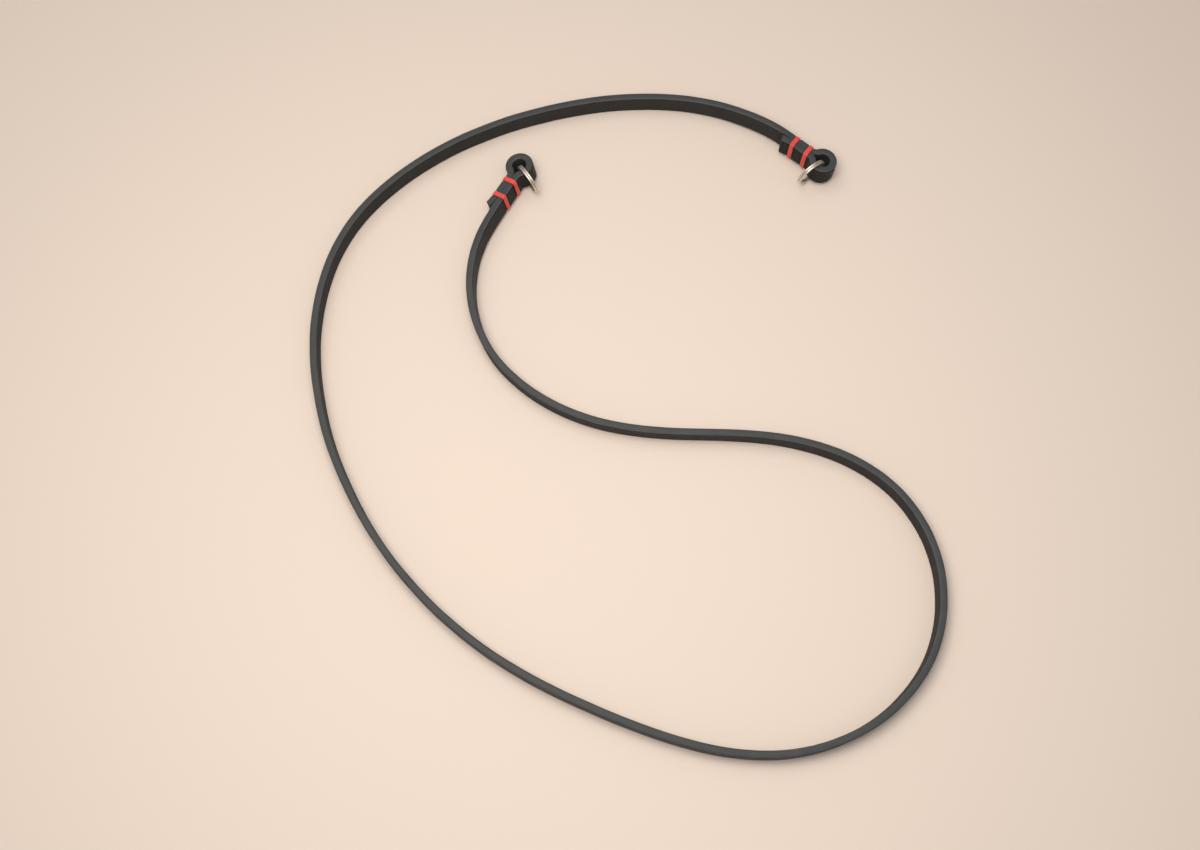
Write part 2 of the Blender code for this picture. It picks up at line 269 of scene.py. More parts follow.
shares = np.array(ROUTE)
spread = Curve(shares).outline
low, high = spread.min(axis=0), spread.max(axis=0)
route = Curve((shares - (low + high) / 2) / (high - low) * (LAY_WIDTH, LAY_DEPTH))
print(f"the strap runs {route.length:.3f} m between its outer whippings")

# %% [markdown]
# ## The strap's own sizes
#
# The strip is 11.4 mm wide and 3.6 mm thick. It leans a few degrees in places, as a strip on edge
# does, and at each end the ring under the eye props it up by a millimetre or two, so the end also
# tips a little to the other side.

# %% The strap's sizes, its lean and its two ends
STRAP_THICKNESS = 0.0036
STRAP_HEIGHT = 0.0114
BOUND_THICKNESS = 0.0032
LAYER_GAP = 0.0003
THINNING_LENGTH = 0.012
EYE_PLAY = 0.0020
NECK_RADIUS = 0.0035
TAIL_LENGTH = 0.0067
TAIL_PEEL = 0.0006
LIFT_LENGTH = 0.100
EDGE_BEVEL = 0.0005

WHIPPING_WIDTH = 0.0023
PINCH_SIDE = 0.00045
PINCH_EDGE = 0.0002
PINCH_EASE = 0.0009

WIRE_DEPTH = 0.0012
WIRE_WIDTH = 0.0010
TURN_GAP = 0.0001
RING_PLAY = 0.0026
RING_OUTSET = 0.0014
SEAT_GAP = 0.00025

# Share of the way along and degrees to the left of its travel
LEAN = [(0.00, -3.0), (0.06, 0.0), (0.74, 0.0), (0.83, 4.5), (0.94, 4.5), (1.00, 9.5)]

# Distance between the whippings, straight neck, how far the eye is off the line between the
# layers, and where in the eye the ring hangs and how it leans, both in degrees
END_ROWS = {
    "right": (0.0084, 0.0005, -0.0005, 105.0, 4.0),
    "left": (0.0095, 0.0028, 0.0008, -113.0, -8.0),
}

PAIR_Y = (BOUND_THICKNESS + LAYER_GAP) / 2
RING_WIDTH = 2 * WIRE_WIDTH + TURN_GAP
RING_INNER_RADIUS = (STRAP_HEIGHT + RING_PLAY) / 2
RING_OUTER_RADIUS = RING_INNER_RADIUS + WIRE_DEPTH
RING_INTO_WALL = STRAP_THICKNESS / 2 + RING_OUTSET
EYE_HOLE_RADIUS = (RING_OUTER_RADIUS - RING_INTO_WALL + EYE_PLAY) / 2
EYE_RADIUS = EYE_HOLE_RADIUS + STRAP_THICKNESS / 2


def smooth(t):
    """Ease from 0 to 1 as t goes from 0 to 1."""
    t = min(max(t, 0.0), 1.0)
    return t * t * (3 - 2 * t)


def left_of(heading):
    return np.array([-heading[1], heading[0]])


def lean_at(share):
    """Lean in radians, eased between the rows of the table."""
    for (share_a, lean_a), (share_b, lean_b) in zip(LEAN, LEAN[1:]):
        if share <= share_b:
            ease = smooth((share - share_a) / (share_b - share_a))
            return math.radians(lean_a + (lean_b - lean_a) * ease)
    return math.radians(LEAN[-1][1])


def thinned(back):
    """Thickness of the run, which thins towards the outer whipping."""
    ease = smooth(back / THINNING_LENGTH)
    return BOUND_THICKNESS + (STRAP_THICKNESS - BOUND_THICKNESS) * ease


def settle(lean, thickness):
    """How far a leaning section goes up so that its lowest corner stands at zero."""
    half = thickness / 2
    corners = [
        (side * (half - cut), level - STRAP_HEIGHT / 2)
        for side in (-1, 1)
        for cut, level in ((0.0, EDGE_BEVEL), (EDGE_BEVEL, 0.0))
    ]
    lowest = min(z * math.cos(lean) - y * math.sin(lean) for y, z in corners)
    return -lowest - STRAP_HEIGHT / 2


def neck_reach(aside):
    """How far before the eye's middle a layer that lies aside of it leaves its straight line."""
    return math.sqrt((EYE_RADIUS + NECK_RADIUS) ** 2 - (aside + NECK_RADIUS) ** 2)


def neck_turn(aside):
    """The angle that the layer turns through in its neck."""
    return math.acos((aside + NECK_RADIUS) / (EYE_RADIUS + NECK_RADIUS))


# %% [markdown]
# ## Lean and lift
#
# Every cross-section is first drawn upright and then tipped about a line at half the strap's
# height. A bound end is stiff, so all of its sections share one tilt, and the long run eases
# into it.

# %% The axes of an end, and the tilt of any section
Tilt = namedtuple("Tilt", "origin side lean rise")


def tilted(tilt, place, height):
    """A point of the upright strap, above place on the table, as it lies with the lean."""
    across = (place - tilt.origin) @ tilt.side
    above = height - STRAP_HEIGHT / 2
    shift = across * (math.cos(tilt.lean) - 1) + above * math.sin(tilt.lean)
    up = above * math.cos(tilt.lean) - across * math.sin(tilt.lean)
    return (*(place + shift * tilt.side), STRAP_HEIGHT / 2 + up + tilt.rise)


class End:
    """One end, with its own axes at the outer whipping: x outwards and y across to the tail."""

    def __init__(self, curve, sense, spacing, neck, eye_aside, ring_around, ring_lean):
        self.curve = curve
        self.sense = sense
        self.place, travel = self.beside(0.0)
        self.outward = sense * travel
        self.tailward = left_of(travel)
        self.spacing = spacing
        self.eye_y = PAIR_Y + eye_aside
        self.neck_x = spacing + WHIPPING_WIDTH / 2 + neck
        self.eye_x = self.neck_x + neck_reach(self.eye_y)
        self.ring_around = math.radians(ring_around)
        self.ring_lean = math.radians(ring_lean)
        self.eye_lift = self.clear_ring()

    def along(self, back):
        """Distance along the whole run of a place that lies back from the outer whipping."""
        return self.curve.length - back if self.sense > 0 else back

    def beside(self, back):
        """Place and heading of the run at a distance back from the outer whipping."""
        return self.curve.at(self.along(back))

    def clear_ring(self):
        """How high the eye's lower edge stands at the neck, propped up by the ring's wire."""
        lean = lean_at(self.along(0.0) / self.curve.length)
        foot_out = -STRAP_HEIGHT / 2 * math.sin(lean) * math.sin(self.ring_around)
        into_foot = RING_INTO_WALL - foot_out
        beside_ring = max(into_foot, STRAP_THICKNESS - into_foot)
        depth = RING_OUTER_RADIUS - math.sqrt(RING_INNER_RADIUS**2 - beside_ring**2)
        wire = depth * math.cos(self.ring_lean) + RING_WIDTH * abs(math.sin(self.ring_lean))
        reaches = (EYE_HOLE_RADIUS, EYE_HOLE_RADIUS + STRAP_THICKNESS)
        tipped = [
            -(self.eye_y + reach * math.sin(self.ring_around)) * math.sin(lean)
            for reach in reaches
        ]
        return wire + SEAT_GAP - settle(lean, BOUND_THICKNESS) - min(tipped)

    def lift(self, back):
        """Height of the lower edge above the table, by the distance back from the neck."""
        return self.eye_lift * (1 - smooth(back / LIFT_LENGTH))

    def pinch(self, x):
        """Squeeze of the thread at x: 1 under a whipping and 0 clear of it."""
        clear = min(abs(x), abs(x - self.spacing)) - WHIPPING_WIDTH / 2
        return 1 - smooth(clear / PINCH_EASE)

    def tilt(self, back):
        """The strap's lean and height at a distance back from the outer whipping."""
        place, travel = self.beside(back)
        lean = lean_at(self.along(back) / self.curve.length)
        rise = self.lift(self.neck_x + back) + settle(lean, thinned(back))
        return Tilt(place, left_of(travel), lean, rise)

    def fold_tilt(self, x):
        """The same at x of the fold, which tips as one stiff piece."""
        start = self.tilt(0.0)
        return start._replace(rise=start.rise + self.lift(self.neck_x - x) - self.lift(self.neck_x))

    def on_table(self, x, y):
        """A point of the end's own axes, on the table."""
        return self.place + x * self.outward + y * self.tailward


right_end = End(route, -1, *END_ROWS["right"])
left_end = End(route, 1, *END_ROWS["left"])
for name, end in (("right", right_end), ("left", left_end)):
    print(f"the {name} eye's middle is {1000 * end.eye_x:.1f} mm beyond the outer whipping")

# %% [markdown]
# ## Geometry Nodes, run once
#
# A piece that follows a path can be modelled by hand, but then no size in it can be changed. Each
# such piece here is a small Geometry Nodes tree with named inputs. It is run once, and what it
# makes is kept as a plain mesh, so that the finished piece needs no modifier.

# %% Helpers for Geometry Nodes
def new_tree(name, sockets):
    """A tree with named inputs, rows of label, kind and default. Returns it and its inputs."""
    tree = bpy.data.node_groups.new(name, "GeometryNodeTree")
    tree.interface.new_socket("Geometry", in_out="INPUT", socket_type="NodeSocketGeometry")
    tree.interface.new_socket("Geometry", in_out="OUTPUT", socket_type="NodeSocketGeometry")
    for label, kind, value in sockets:
        made = tree.interface.new_socket(label, in_out="INPUT", socket_type=f"NodeSocket{kind}")
        if value is not None:
            made.default_value = value
    return tree, add(tree, "NodeGroupInput").outputs


def run_tree(name, start, tree, values, place=None):
    """Run a tree on a mesh, and return its result as a plain mesh object at the origin."""
    piece = bpy.data.objects.new(name, start)
    bpy.context.scene.collection.objects.link(piece)
    modifier = piece.modifiers.new("maker", "NODES")
    modifier.node_group = tree
    for item in tree.interface.items_tree:
        if item.in_out == "INPUT" and item.name in values:
            modifier[item.identifier] = values[item.name]
    seen = piece.evaluated_get(bpy.context.evaluated_depsgraph_get())
    mesh = bpy.data.meshes.new_from_object(seen)
    piece.modifiers.remove(modifier)
    piece.data = mesh
    bpy.data.meshes.remove(start)
    if place is not None:
        mesh.transform(place)
    bm = bmesh.new()
    bm.from_mesh(mesh)
    volume = bm.calc_volume(signed=True)
    open_edges = sum(1 for edge in bm.edges if not edge.is_manifold)
    bm.free()
    print(f"{name}: {len(mesh.polygons)} faces, {1e9 * volume:.1f} mm3, {open_edges} open edges")
    return piece


def guide_line(name, rows, closed=False):
    """A line of points joined by edges. Each key of a row becomes an attribute of its point."""
    line = bpy.data.meshes.new(name)
    count = len(rows)
    edges = [(k, (k + 1) % count) for k in range(count if closed else count - 1)]
    line.from_pydata([tuple(row["centre"]) for row in rows], edges, [])
    for key, value in rows[0].items():
        vector = np.ndim(value) == 1
        kind, slot = ("FLOAT_VECTOR", "vector") if vector else ("FLOAT", "value")
        numbers = np.array([row[key] for row in rows], "f")
        line.attributes.new(key, kind, "POINT").data.foreach_set(slot, numbers.ravel())
    return line


def attribute(tree, name, kind="FLOAT"):
    """A value that each point of the geometry carries under a name."""
    return add(tree, "GeometryNodeInputNamedAttribute", {"Name": name}, data_type=kind)


def combined(tree, parts):
    """A vector from some of its X, Y and Z. The others are 0."""
    return add(tree, "ShaderNodeCombineXYZ", parts)


def on_axis(tree, name, distance):
    """A distance along one of the guide's own axes."""
    return scaled(tree, attribute(tree, name, "FLOAT_VECTOR"), distance)


def off_centre(tree, *shifts):
    """The guide's middle, moved by each shift."""
    place = attribute(tree, "centre", "FLOAT_VECTOR")
    for shift in shifts:
        place = vector_maths(tree, "ADD", place, shift)
    return place


def numbered_line(tree, count):
    """A line of points, and each point's share of the way from the first to the last."""
    line = add(tree, "GeometryNodeMeshLine", {"Count": count})
    last = maths(tree, "SUBTRACT", count, 1.0)
    number = add(tree, "GeometryNodeInputIndex")
    return line, maths(tree, "DIVIDE", number, last)


def direction(tree, angle, axis):
    """The way that an angle points, from an axis towards Z."""
    cosine = maths(tree, "COSINE", angle)
    sine = maths(tree, "SINE", angle)
    return combined(tree, {axis: cosine, "Z": sine})


def compared(tree, value, relation, limit, kind="FLOAT"):
    """Whether a value has a relation to a limit."""
    return add(
        tree, "FunctionNodeCompare", {"A": value, "B": limit}, data_type=kind, operation=relation
    )


def stored(tree, shape, name, value, kind="FLOAT", domain="POINT"):
    """The shape with a value written on each of its points, or of its corners."""
    return add(
        tree, "GeometryNodeStoreNamedAttribute", {"Geometry": shape, "Name": name, "Value": value},
        data_type=kind, domain=domain,
    )


def moved(tree, shape, place):
    """The shape with each of its points put at its own place."""
    return add(tree, "GeometryNodeSetPosition", {"Geometry": shape, "Position": place})


def swept(tree, path, section):
    """A skin along a path, closed at both ends."""
    return add(
        tree, "GeometryNodeCurveToMesh",
        {"Curve": path, "Profile Curve": section, "Fill Caps": True},
    )


def made_real(tree, mesh, finish):
    """The mesh with its instances made real and its material set."""
    whole = add(tree, "GeometryNodeRealizeInstances", {"Geometry": mesh})
    return add(tree, "GeometryNodeSetMaterial", {"Geometry": whole, "Material": finish})


# %% [markdown]
# ## The line that the strap follows
#
# A swept shape needs a guide. This one runs from one tail's cut end, between the whippings, round
# the eye, along the whole coil, and the same way back at the other end. Each point knows which
# way is across and up there, how thick the leather is, and how hard the thread squeezes it. The
# points stand close together in the folds and further apart on the run, where little happens.

# %% Stations along the strap
FOLD_STEP = 0.0003
RUN_STEP = 0.0025
ARC_STEP = math.radians(3.5)
TAIL_SLANT = 0.0014
SLANT_LENGTH = 0.0030
CUT_ROUNDING = [(0.00045, 0.0), (0.00018, 0.00008), (0.0, 0.00026)]
UNBOUND_LENGTH = 0.0045


def station(place, heading, thickness, squeeze, tilt, bound):
    """The strap's middle at one section, its axes, and how it is squeezed and bound there."""
    middle = np.array(tilted(tilt, place, STRAP_HEIGHT / 2))
    side = np.array(tilted(tilt, place + left_of(heading), STRAP_HEIGHT / 2)) - middle
    up = np.array(tilted(tilt, place, STRAP_HEIGHT / 2 + 1)) - middle
    return {
        "centre": middle, "side": side, "up": up, "skew": np.zeros(3), "thickness": thickness,
        "squeeze": squeeze, "bound": bound, "wrinkle": 0.0, "inset": 0.0, "loose": 0.0,
    }


def arc(centre_x, centre_y, radius, start, sweep):
    """Rows x, y, heading and share of an arc after its first point, to the left if sweep > 0."""
    count = max(2, math.ceil(abs(sweep) / ARC_STEP))
    way = math.copysign(1, sweep)
    for k in range(1, count + 1):
        angle = start + sweep * k / count
        x, y = centre_x + radius * math.cos(angle), centre_y + radius * math.sin(angle)
        yield x, y, (-way * math.sin(angle), way * math.cos(angle)), k / count


def fold_rows(end):
    """The fold in the end's own axes: x, y, heading, fullness and share of the way round."""
    quarter = math.pi / 2
    tail_aside = 2 * PAIR_Y - end.eye_y
    tail_neck_x = end.eye_x - neck_reach(tail_aside)
    turn_out, turn_back = neck_turn(end.eye_y), neck_turn(tail_aside)
    for x in np.linspace(0, end.neck_x, round(end.neck_x / FOLD_STEP) + 1):
        yield x, 0.0, (1.0, 0.0), 0.0, 0.0
    for row in arc(end.neck_x, -NECK_RADIUS, NECK_RADIUS, quarter, -turn_out):
        yield *row, 0.0
    round_eye = math.pi + turn_out + turn_back
    for x, y, heading, share in arc(
        end.eye_x, end.eye_y, EYE_RADIUS, -quarter - turn_out, round_eye
    ):
        yield x, y, heading, 1.0, share
    for x, y, heading, share in arc(
        tail_neck_x, 2 * PAIR_Y + NECK_RADIUS, NECK_RADIUS, turn_back - quarter, -turn_back
    ):
        yield x, y, heading, 1 - share, 0.0
    for x in np.linspace(tail_neck_x, 0, round(tail_neck_x / FOLD_STEP) + 1)[1:]:
        yield x, 2 * PAIR_Y, (-1.0, 0.0), 0.0, 0.0


def fold(end):
    """Stations from the outer whipping round the eye and back to the tail's cut end."""
    stations = []
    for x, y, (along, across), fullness, share in fold_rows(end):
        thickness = BOUND_THICKNESS + (STRAP_THICKNESS - BOUND_THICKNESS) * smooth(fullness)
        heading = end.sense * (along * end.outward + across * end.tailward)
        made = station(
            end.on_table(x, y), heading, thickness, end.pinch(x), end.fold_tilt(x),
            1 - smooth(fullness),
        )
        made["wrinkle"] = math.sin(math.pi * share) ** 0.5 if 0 < share < 1 else 0.0
        stations.append(made)
    backs = list(np.arange(FOLD_STEP, TAIL_LENGTH - CUT_ROUNDING[0][0], FOLD_STEP))
    backs += [TAIL_LENGTH - before for before, _ in CUT_ROUNDING]
    for back in backs:
        place, travel = end.beside(back)
        peel = TAIL_PEEL * (back / TAIL_LENGTH) ** 2
        apart = thinned(back) / 2 + LAYER_GAP + peel + BOUND_THICKNESS / 2
        place = place + apart * left_of(travel)
        made = station(place, -travel, BOUND_THICKNESS, end.pinch(-back), end.tilt(back), 1.0)
        slant = TAIL_SLANT * smooth(1 - (TAIL_LENGTH - back) / SLANT_LENGTH)
        made["skew"] = np.array((*(-end.sense * slant * travel), 0.0))
        stations.append(made)
    for made, (_, inset) in zip(stations[-len(CUT_ROUNDING):], CUT_ROUNDING):
        made["inset"] = inset
    return stations


def long_run(curve, start, finish):
    """Stations of the run between the two bound ends, closer together near the whippings."""
    near = list(np.arange(FOLD_STEP, THINNING_LENGTH, 2 * FOLD_STEP))
    count = round((curve.length - 2 * near[-1]) / RUN_STEP)
    even = list(np.linspace(near[-1], curve.length - near[-1], count + 1))
    stations = []
    for travelled in near[:-1] + even + [curve.length - back for back in near[-2::-1]]:
        end = start if travelled < curve.length / 2 else finish
        back = min(travelled, curve.length - travelled)
        place, heading = curve.at(travelled)
        bound = 1 - smooth((back - TAIL_LENGTH) / UNBOUND_LENGTH)
        made = station(place, heading, thinned(back), end.pinch(-back), end.tilt(back), bound)
        made["loose"] = smooth((back - THINNING_LENGTH) / THINNING_LENGTH)
        stations.append(made)
    return stations


stations = fold(right_end)[::-1] + long_run(route, right_end, left_end) + fold(left_end)
steps = [
    float(np.linalg.norm(after["centre"] - before["centre"]))
    for before, after in zip(stations, stations[1:])
]
for made, travelled in zip(stations, np.append(0, np.cumsum(steps))):
    made["travelled"] = float(travelled)
print(f"{len(stations)} stations along {sum(steps):.3f} m of leather")

# %% [markdown]
# ## The strap's cross-section
#
# Straps are cut square, and then the edges are shaved round and rubbed until they shine. So the
# section is a rectangle with rounded corners, slightly crowned on its two narrow edges. It is
# drawn once, as a closed ring of points, and each point knows how far round it is and how much
# wear it gets, which is most on the corners. Where the thread binds two layers, their edges were
# rubbed as one, so there the corners on the flesh side are square and the joint hardly shows. Each
# point therefore knows two places, and the strap's guide says which one counts.

# %% The section's outline
CORNER_RADIUS = 0.0008
SQUARE_RADIUS = 0.0001
JOINT_GAP = 0.00005
CROWN = 0.00012
CORNER_STEPS = 5
EDGE_STEPS = 3
FACE_STEPS = 7
WEAR_WIDTH = 0.0007


def half_outline(radius):
    """Points across and level from the lower edge's middle to the upper's."""
    inner_y = STRAP_THICKNESS / 2 - radius
    inner_z = STRAP_HEIGHT / 2 - radius
    for k in range(EDGE_STEPS):
        yield inner_y * k / EDGE_STEPS, -STRAP_HEIGHT / 2
    for k in range(CORNER_STEPS + 1):
        angle = math.pi / 2 * (k / CORNER_STEPS - 1)
        yield inner_y + radius * math.cos(angle), -inner_z + radius * math.sin(angle)
    for k in range(1, FACE_STEPS):
        yield STRAP_THICKNESS / 2, -inner_z + 2 * inner_z * k / FACE_STEPS
    for k in range(CORNER_STEPS + 1):
        angle = math.pi / 2 * k / CORNER_STEPS
        yield inner_y + radius * math.cos(angle), inner_z + radius * math.sin(angle)
    for k in range(EDGE_STEPS - 1, -1, -1):
        yield inner_y * k / EDGE_STEPS, STRAP_HEIGHT / 2


def crowned(points):
    """The same points with the two narrow edges slightly domed."""
    points = np.array(points)
    points[:, 1] *= 1 - CROWN / (STRAP_HEIGHT / 2) * (2 * points[:, 0] / STRAP_THICKNESS) ** 2
    return points


half_ring = list(half_outline(CORNER_RADIUS))
grain_half = [(-y, z) for y, z in half_ring[-2:0:-1]]
ring_points = crowned(half_ring + grain_half)
bound_points = np.array(list(half_outline(SQUARE_RADIUS)) + list(ring_points[len(half_ring):]))
ring_steps = np.linalg.norm(np.roll(ring_points, -1, axis=0) - ring_points, axis=1)
ring_round = np.append(0, ring_steps.cumsum())
GIRTH = float(ring_round[-1])
lower_corner = EDGE_STEPS + CORNER_STEPS / 2
upper_corner = EDGE_STEPS + CORNER_STEPS + FACE_STEPS + CORNER_STEPS / 2
FLESH_FROM, FLESH_TO = np.interp((lower_corner, upper_corner), range(len(ring_round)), ring_round)
GRAIN_FROM, GRAIN_TO = GIRTH - FLESH_TO, GIRTH - FLESH_FROM
corners = np.array((FLESH_FROM, FLESH_TO, GRAIN_FROM, GRAIN_TO))
outline_rows = []
for (y, z), (bound_y, bound_z), way_round in zip(ring_points, bound_points, ring_round):
    from_corner = float(np.abs(corners - way_round).min())
    outline_rows.append({
        "centre": (y, z, 0.0),
        "share": y / STRAP_THICKNESS, "level": z,
        "bound_share": bound_y / STRAP_THICKNESS, "bound_level": bound_z,
        "round": float(way_round), "edge_wear": math.exp(-((from_corner / WEAR_WIDTH) ** 2)),
    })
print(f"the section has {len(outline_rows)} points and is {1000 * GIRTH:.1f} mm round")

# %% [markdown]
# ## The leather
#
# The strip is vegetable-tanned harness leather, dyed black. It has three kinds of surface. The
# grain side, the outside of the hide, is smooth with fine creases and pores. The flesh side, the
# inside of the hide, is duller and a little fibrous. The edges were shaved, dyed and rubbed, so
# they are the smoothest, but wear has dulled them, and they look grey under the lamps. All three
# read the UV map, which holds real metres: U runs along the strap and V round it. The creases of
# the real grain are about half as far apart as here, which is too fine to show.

# %% The three leather surfaces
GRAIN_CREASE = 0.0008
PORE_SIZE = 0.0003
PORE_SHARE = 0.7
FIBRE_LENGTH = 0.0022
FIBRE_WIDTH = 0.00035
DYE_PATCH = 0.009
RUB_LENGTH = 0.007
RUB_WIDTH = 0.0006


def leather(name, dark, pale):
    """A leather surface whose dye varies in soft patches. Returns what its finish builds on."""
    made, tree, shader = new_material(name)
    along = add(tree, "ShaderNodeUVMap", uv_map="UVMap")
    patches = add(
        tree, "ShaderNodeTexNoise",
        {"Vector": along, "Scale": 1 / DYE_PATCH, "Detail": 5.0, "Roughness": 0.62},
    )
    dye = blended(tree, patches, colour(dark), colour(pale))
    return made, tree, shader, along, dye


def noise(tree, along, size, detail):
    """Noise whose marks have a size in metres."""
    return add(tree, "ShaderNodeTexNoise", {"Vector": along, "Scale": 1 / size, "Detail": detail})


def stretched_noise(tree, along, length, width, detail):
    """Noise drawn out along the strap: marks of a length and a width in metres."""
    drawn_out = vector_maths(tree, "MULTIPLY", along, (1 / length, 1 / width, 1))
    return add(tree, "ShaderNodeTexNoise", {"Vector": drawn_out, "Scale": 1.0, "Detail": detail})


# Grain side: fine creases round small flat cells, with pores, under a thin dull finish. Its
# colour is black dye, set darker still as painted shade, which darkens the sides of the bound ends.
grain_side, tree, shader, along, dye = leather("dyed_leather_grain_with_painted_shade", "#0B0D0E", "#15171A")
shake = noise(tree, along, GRAIN_CREASE, 2.0)
shaken = vector_maths(
    tree, "MULTIPLY_ADD", shake.outputs["Color"], (GRAIN_CREASE, GRAIN_CREASE, 0.0), along
)
cells = add(
    tree, "ShaderNodeTexVoronoi", {"Vector": shaken, "Scale": 1 / GRAIN_CREASE},
    feature="DISTANCE_TO_EDGE",
)
creases = add(tree, "ShaderNodeMapRange", {"Value": cells, "From Max": 0.16})
pores = noise(tree, along, PORE_SIZE, 3.0)
relief = maths(tree, "MULTIPLY_ADD", pores, PORE_SHARE, creases)
bump = add(tree, "ShaderNodeBump", {"Strength": 0.45, "Distance": 0.00005, "Height": relief})
gloss = add(tree, "ShaderNodeMapRange", {"Value": creases, "To Min": 0.66, "To Max": 0.5})
connect(
    tree, shader,
    {"Base Color": dye, "Roughness": gloss, "Normal": bump, "Specular IOR Level": 0.24},
)

# Flesh side: short fibres lying along the strap, brushed down with a dull black dressing
flesh_side, tree, shader, along, dye = leather("dyed_harness_leather_flesh", "#212121", "#333231")
fibres = stretched_noise(tree, along, FIBRE_LENGTH, FIBRE_WIDTH, 4.0)
dust = add(
    tree, "ShaderNodeMapRange", {"Value": fibres, "From Min": 0.52, "From Max": 0.75, "To Max": 0.5}
)
dusty = blended(tree, dust, dye, colour("#4A4846"))
bump = add(tree, "ShaderNodeBump", {"Strength": 0.6, "Distance": 0.00009, "Height": fibres})
connect(
    tree, shader,
    {"Base Color": dusty, "Normal": bump, "Roughness": 0.82, "Specular IOR Level": 0.3},
)

# Edge: dyed, rubbed smooth and dulled by wear, with fine streaks along it. The corners have lost
# some dye, and dust and handling leave paler rubs there.
edge_finish, tree, shader, along, dye = leather("burnished_leather_edge", "#303335", "#404346")
streaks = stretched_noise(tree, along, RUB_LENGTH, RUB_WIDTH, 4.0)
worn = add(tree, "ShaderNodeAttribute", attribute_name="edge_wear")
rubbed = maths(tree, "MULTIPLY", worn.outputs["Fac"], streaks)
rubs = add(
    tree, "ShaderNodeMapRange",
    {"Value": rubbed, "From Min": 0.28, "From Max": 0.66, "To Max": 0.55},
)
pale_dye = blended(tree, rubs, dye, colour("#5C5D5D"))
pores = noise(tree, along, PORE_SIZE, 3.0)
relief = maths(tree, "MULTIPLY_ADD", pores, 0.5, streaks)
bump = add(tree, "ShaderNodeBump", {"Strength": 0.35, "Distance": 0.00006, "Height": relief})
gloss = add(tree, "ShaderNodeMapRange", {"Value": streaks, "To Min": 0.5, "To Max": 0.74})
connect(
    tree, shader,
    {"Base Color": pale_dye, "Roughness": gloss, "Normal": bump, "Specular IOR Level": 0.36},
)
print("leather surfaces:", grain_side.name, flesh_side.name, edge_finish.name)

# %% [markdown]
# ## Thread and steel
#
# The whippings are linen thread, three plies twisted together and drawn through wax. The wax
# makes the thread stiff and a little shiny. Its red is painted darker in the grooves between the
# plies and lighter on their crests: painted shade and painted light. The split rings are spring
# steel wire, rolled flat, wound and nickel plated, so they are bright, slightly warm, and finely
# scratched along the wire from rubbing against whatever they hold.

# %% Waxed linen and nickel plate
HAIR_LENGTH = 0.0009
HAIR_WIDTH = 0.00008
SCRATCH_LENGTH = 0.003
SCRATCH_WIDTH = 0.00009

waxed_linen, tree, shader = new_material("red_waxed_linen_thread")
along = add(tree, "ShaderNodeUVMap", uv_map="UVMap")
hairs = stretched_noise(tree, along, HAIR_LENGTH, HAIR_WIDTH, 3.0)
# Painted shade and light: the red goes darker in the grooves between the plies and lighter on their
# crests, mixed with the hairs' own variation.
ply = add(tree, "ShaderNodeAttribute", attribute_name="ply")
depth = maths(tree, "MULTIPLY_ADD", hairs, 0.5, ply.outputs["Fac"])
painted_ply_shade = add(tree, "ShaderNodeMapRange", {"Value": depth, "From Min": -0.5, "From Max": 0.9})
red = blended(tree, painted_ply_shade, colour("#C0312A"), colour("#FF5B4B"))
bump = add(tree, "ShaderNodeBump", {"Strength": 0.5, "Distance": 0.00004, "Height": hairs})
connect(tree, shader, {
    "Base Color": red, "Normal": bump, "Roughness": 0.52, "Sheen Weight": 0.15,
    "Coat Weight": 0.12, "Coat Roughness": 0.4,
})

nickel_plate, tree, shader = new_material("nickel_plated_spring_steel")
along = add(tree, "ShaderNodeUVMap", uv_map="UVMap")
scratches = stretched_noise(tree, along, SCRATCH_LENGTH, SCRATCH_WIDTH, 3.0)
metal = blended(tree, scratches, colour("#DAD1C5"), colour("#EBE4DA"))
gloss = add(tree, "ShaderNodeMapRange", {"Value": scratches, "To Min": 0.36, "To Max": 0.58})
bump = add(tree, "ShaderNodeBump", {"Strength": 0.15, "Distance": 0.00002, "Height": scratches})
connect(tree, shader, {"Base Color": metal, "Roughness": gloss, "Normal": bump, "Metallic": 1.0})
print("hardware finishes:", waxed_linen.name, nickel_plate.name)

# %% [markdown]
# ## Sweeping the strap
#
# Curve to Mesh joins the guide line and the section into a skin, and every attribute of both
# comes along. Set Position then puts each point exactly where its own axes say, so the section
# never twists by itself. The tree also adds what real leather does: it waves a little along the
# run, and its flesh side wrinkles where the eye bends it sharply.

# %% A UV map for anything swept
def unroll(tree, mesh, girth, on_cap=None):
    """Store a UV map in metres: travelled along the sweep, and the way round it.

    The last face round has the ring's start as its end, so its way round gets a whole girth
    more there. on_cap gives the map of the flat ends, which have more than four corners.
    """
    travelled = attribute(tree, "travelled")
    way_round = attribute(tree, "round")
    middle = add(tree, "GeometryNodeFieldOnDomain", way_round, data_type="FLOAT", domain="FACE")
    quarter = maths(tree, "MULTIPLY", girth, 0.25)
    limit = maths(tree, "SUBTRACT", middle, quarter)
    wraps = compared(tree, way_round, "LESS_THAN", limit)
    whole = maths(tree, "ADD", way_round, girth)
    fixed = add(
        tree, "GeometryNodeSwitch", {"Switch": wraps, "False": way_round, "True": whole},
        input_type="FLOAT",
    )
    place = combined(tree, {"X": travelled, "Y": fixed})
    if on_cap is not None:
        corners_there = add(tree, "GeometryNodeInputMeshFaceNeighbors")
        capped = compared(tree, corners_there, "GREATER_THAN", 4, "INT")
        place = add(
            tree, "GeometryNodeSwitch", {"Switch": capped, "False": place, "True": on_cap},
            input_type="VECTOR",
        )
    return stored(tree, mesh, "UVMap", place, "FLOAT2", "CORNER")


